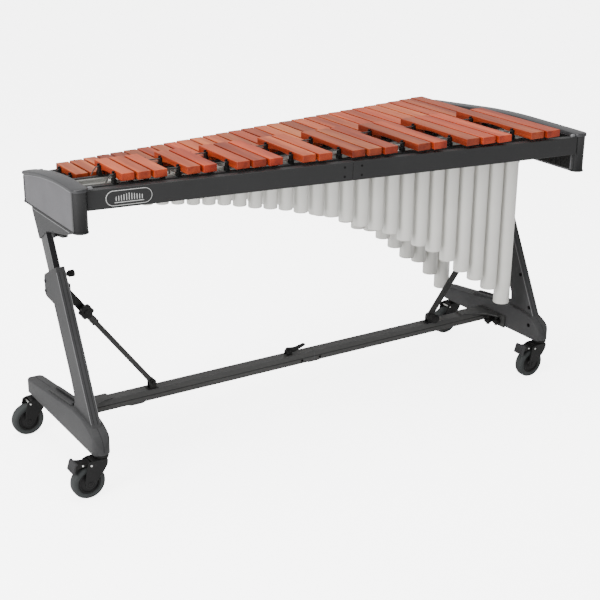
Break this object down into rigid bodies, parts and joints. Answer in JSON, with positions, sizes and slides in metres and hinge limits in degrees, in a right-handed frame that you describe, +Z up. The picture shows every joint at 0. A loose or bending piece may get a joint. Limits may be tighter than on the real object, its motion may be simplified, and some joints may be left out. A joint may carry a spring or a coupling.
{
  "type": "marimba",
  "caption": "Concert marimba: graduated wooden bars on cords over tube resonators, wedge-shaped end panels, height-adjustable leaning legs and a braced rolling stand.",
  "frame": {"origin": "on the floor, under the middle of the overall box with the casters trailing towards -X", "axes": "+Z up, +X towards the low-note end, -Y towards the audience, +Y towards the player"},
  "size_m": [1.772, 0.807, 0.902],
  "materials": {
    "stand_casting": "textured",
    "beam_paint": "satin",
    "panel_texture": "textured",
    "panel_edge": "satin",
    "rail_black": "satin",
    "bar_wood": "oiled",
    "resonator_metal": "satin",
    "cord": "woven",
    "post_black": "moulded",
    "knob_black": "moulded",
    "zinc": "zinc plated",
    "bolt_black": "blackened",
    "wheel_hub": "moulded",
    "tyre": "smooth",
    "badge": "brushed"
  },
  "bodies": {
    "stand": {"left_foot": "stand_casting", "right_foot": "stand_casting", "left_lower_leg": "stand_casting", "right_lower_leg": "stand_casting", "beam_left": "beam_paint", "beam_right": "beam_paint", "beam_coupler": "zinc", "stand_bolts": "bolt_black", "left_beam_bracket": "stand_casting", "right_beam_bracket": "stand_casting", "left_brace_arm": "beam_paint", "left_brace_tube": "stand_casting", "pivot_brackets": "beam_paint", "right_brace_bar": "beam_paint", "caster_sockets": "knob_black"},
    "keyboard": {"left_end_panel": "panel_texture", "right_end_panel": "panel_texture", "end_caps": "panel_edge", "corner_posts": "panel_edge", "left_leg_bracket": "stand_casting", "right_leg_bracket": "stand_casting", "left_upper_leg": "stand_casting", "right_upper_leg": "stand_casting", "front_rail": "rail_black", "back_rail": "rail_black", "inner_rails": "rail_black", "rail_end_blocks": "zinc", "natural_cord_posts": "post_black", "accidental_cord_posts": "post_black", "bar_cords": "cord", "front_resonators": "resonator_metal", "back_resonators": "resonator_metal", "resonator_caps": "resonator_metal", "natural_bars": "bar_wood", "accidental_bars": "bar_wood", "name_badge": "badge"},
    "front_left_caster": {"front_left_fork": "beam_paint"},
    "front_left_wheel": {"front_left_hub": "wheel_hub", "front_left_tyre": "tyre"},
    "front_left_pedal": {"front_left_brake": "beam_paint"},
    "back_left_caster": {"back_left_fork": "beam_paint"},
    "back_left_wheel": {"back_left_hub": "wheel_hub", "back_left_tyre": "tyre"},
    "front_right_caster": {"front_right_fork": "beam_paint"},
    "front_right_wheel": {"front_right_hub": "wheel_hub", "front_right_tyre": "tyre"},
    "front_right_pedal": {"front_right_brake": "beam_paint"},
    "back_right_caster": {"back_right_fork": "beam_paint"},
    "back_right_wheel": {"back_right_hub": "wheel_hub", "back_right_tyre": "tyre"},
    "beam_lever": {"cam_lever": "knob_black"},
    "brace_clamp": {"brace_knob": "knob_black"},
    "brace_pivot": {"brace_pivot_knob": "knob_black"},
    "left_height_clamp": {"left_height_knob": "knob_black"},
    "left_panel_lock": {"left_lock_lever": "knob_black"},
    "right_height_clamp": {"right_height_knob": "knob_black"},
    "right_panel_lock": {"right_lock_lever": "knob_black"}
  },
  "joints": [
    {"name": "height_slide", "type": "slide", "parent": "stand", "child": "keyboard", "axis": [0, 0.4473, 0.8944], "range_m": [-0.04, 0.12]},
    {"name": "front_left_swivel", "type": "hinge", "parent": "stand", "child": "front_left_caster", "pos_m": [-0.791, -0.2715, 0.13], "axis": [0, 0, 1], "continuous": true},
    {"name": "front_left_roll", "type": "hinge", "parent": "front_left_caster", "child": "front_left_wheel", "pos_m": [-0.836, -0.2715, 0.05], "axis": [0, 1, 0], "continuous": true},
    {"name": "front_left_brake_press", "type": "hinge", "parent": "front_left_caster", "child": "front_left_pedal", "pos_m": [-0.831, -0.2715, 0.107], "axis": [0, -1, 0], "range_deg": [0, 12]},
    {"name": "back_left_swivel", "type": "hinge", "parent": "stand", "child": "back_left_caster", "pos_m": [-0.791, 0.1975, 0.13], "axis": [0, 0, 1], "continuous": true},
    {"name": "back_left_roll", "type": "hinge", "parent": "back_left_caster", "child": "back_left_wheel", "pos_m": [-0.836, 0.1975, 0.05], "axis": [0, 1, 0], "continuous": true},
    {"name": "front_right_swivel", "type": "hinge", "parent": "stand", "child": "front_right_caster", "pos_m": [0.859, -0.2715, 0.13], "axis": [0, 0, 1], "continuous": true},
    {"name": "front_right_roll", "type": "hinge", "parent": "front_right_caster", "child": "front_right_wheel", "pos_m": [0.814, -0.2715, 0.05], "axis": [0, 1, 0], "continuous": true},
    {"name": "front_right_brake_press", "type": "hinge", "parent": "front_right_caster", "child": "front_right_pedal", "pos_m": [0.819, -0.2715, 0.107], "axis": [0, -1, 0], "range_deg": [0, 12]},
    {"name": "back_right_swivel", "type": "hinge", "parent": "stand", "child": "back_right_caster", "pos_m": [0.859, 0.1975, 0.13], "axis": [0, 0, 1], "continuous": true},
    {"name": "back_right_roll", "type": "hinge", "parent": "back_right_caster", "child": "back_right_wheel", "pos_m": [0.814, 0.1975, 0.05], "axis": [0, 1, 0], "continuous": true},
    {"name": "beam_lever_lift", "type": "hinge", "parent": "stand", "child": "beam_lever", "pos_m": [-0.006, -0.0045, 0.174], "axis": [0, -1, 0], "range_deg": [0, 90]},
    {"name": "brace_clamp_turn", "type": "hinge", "parent": "stand", "child": "brace_clamp", "pos_m": [-0.71716, -0.0115, 0.46124], "axis": [0, 1, 0], "range_deg": [-180, 180]},
    {"name": "brace_pivot_turn", "type": "hinge", "parent": "stand", "child": "brace_pivot", "pos_m": [0.573, -0.0115, 0.182], "axis": [0, 1, 0], "range_deg": [-180, 180]},
    {"name": "left_height_clamp_turn", "type": "hinge", "parent": "stand", "child": "left_height_clamp", "pos_m": [-0.777, -0.0235, 0.583], "axis": [1, 0, 0], "range_deg": [-180, 180]},
    {"name": "left_panel_lock_drop", "type": "hinge", "parent": "keyboard", "child": "left_panel_lock", "pos_m": [-0.791, -0.0395, 0.713], "axis": [1, 0, 0], "range_deg": [0, 60]},
    {"name": "right_height_clamp_turn", "type": "hinge", "parent": "stand", "child": "right_height_clamp", "pos_m": [0.845, -0.0235, 0.583], "axis": [1, 0, 0], "range_deg": [-180, 180]},
    {"name": "right_panel_lock_drop", "type": "hinge", "parent": "keyboard", "child": "right_panel_lock", "pos_m": [0.859, -0.0395, 0.713], "axis": [1, 0, 0], "range_deg": [0, 60]}
  ]
}
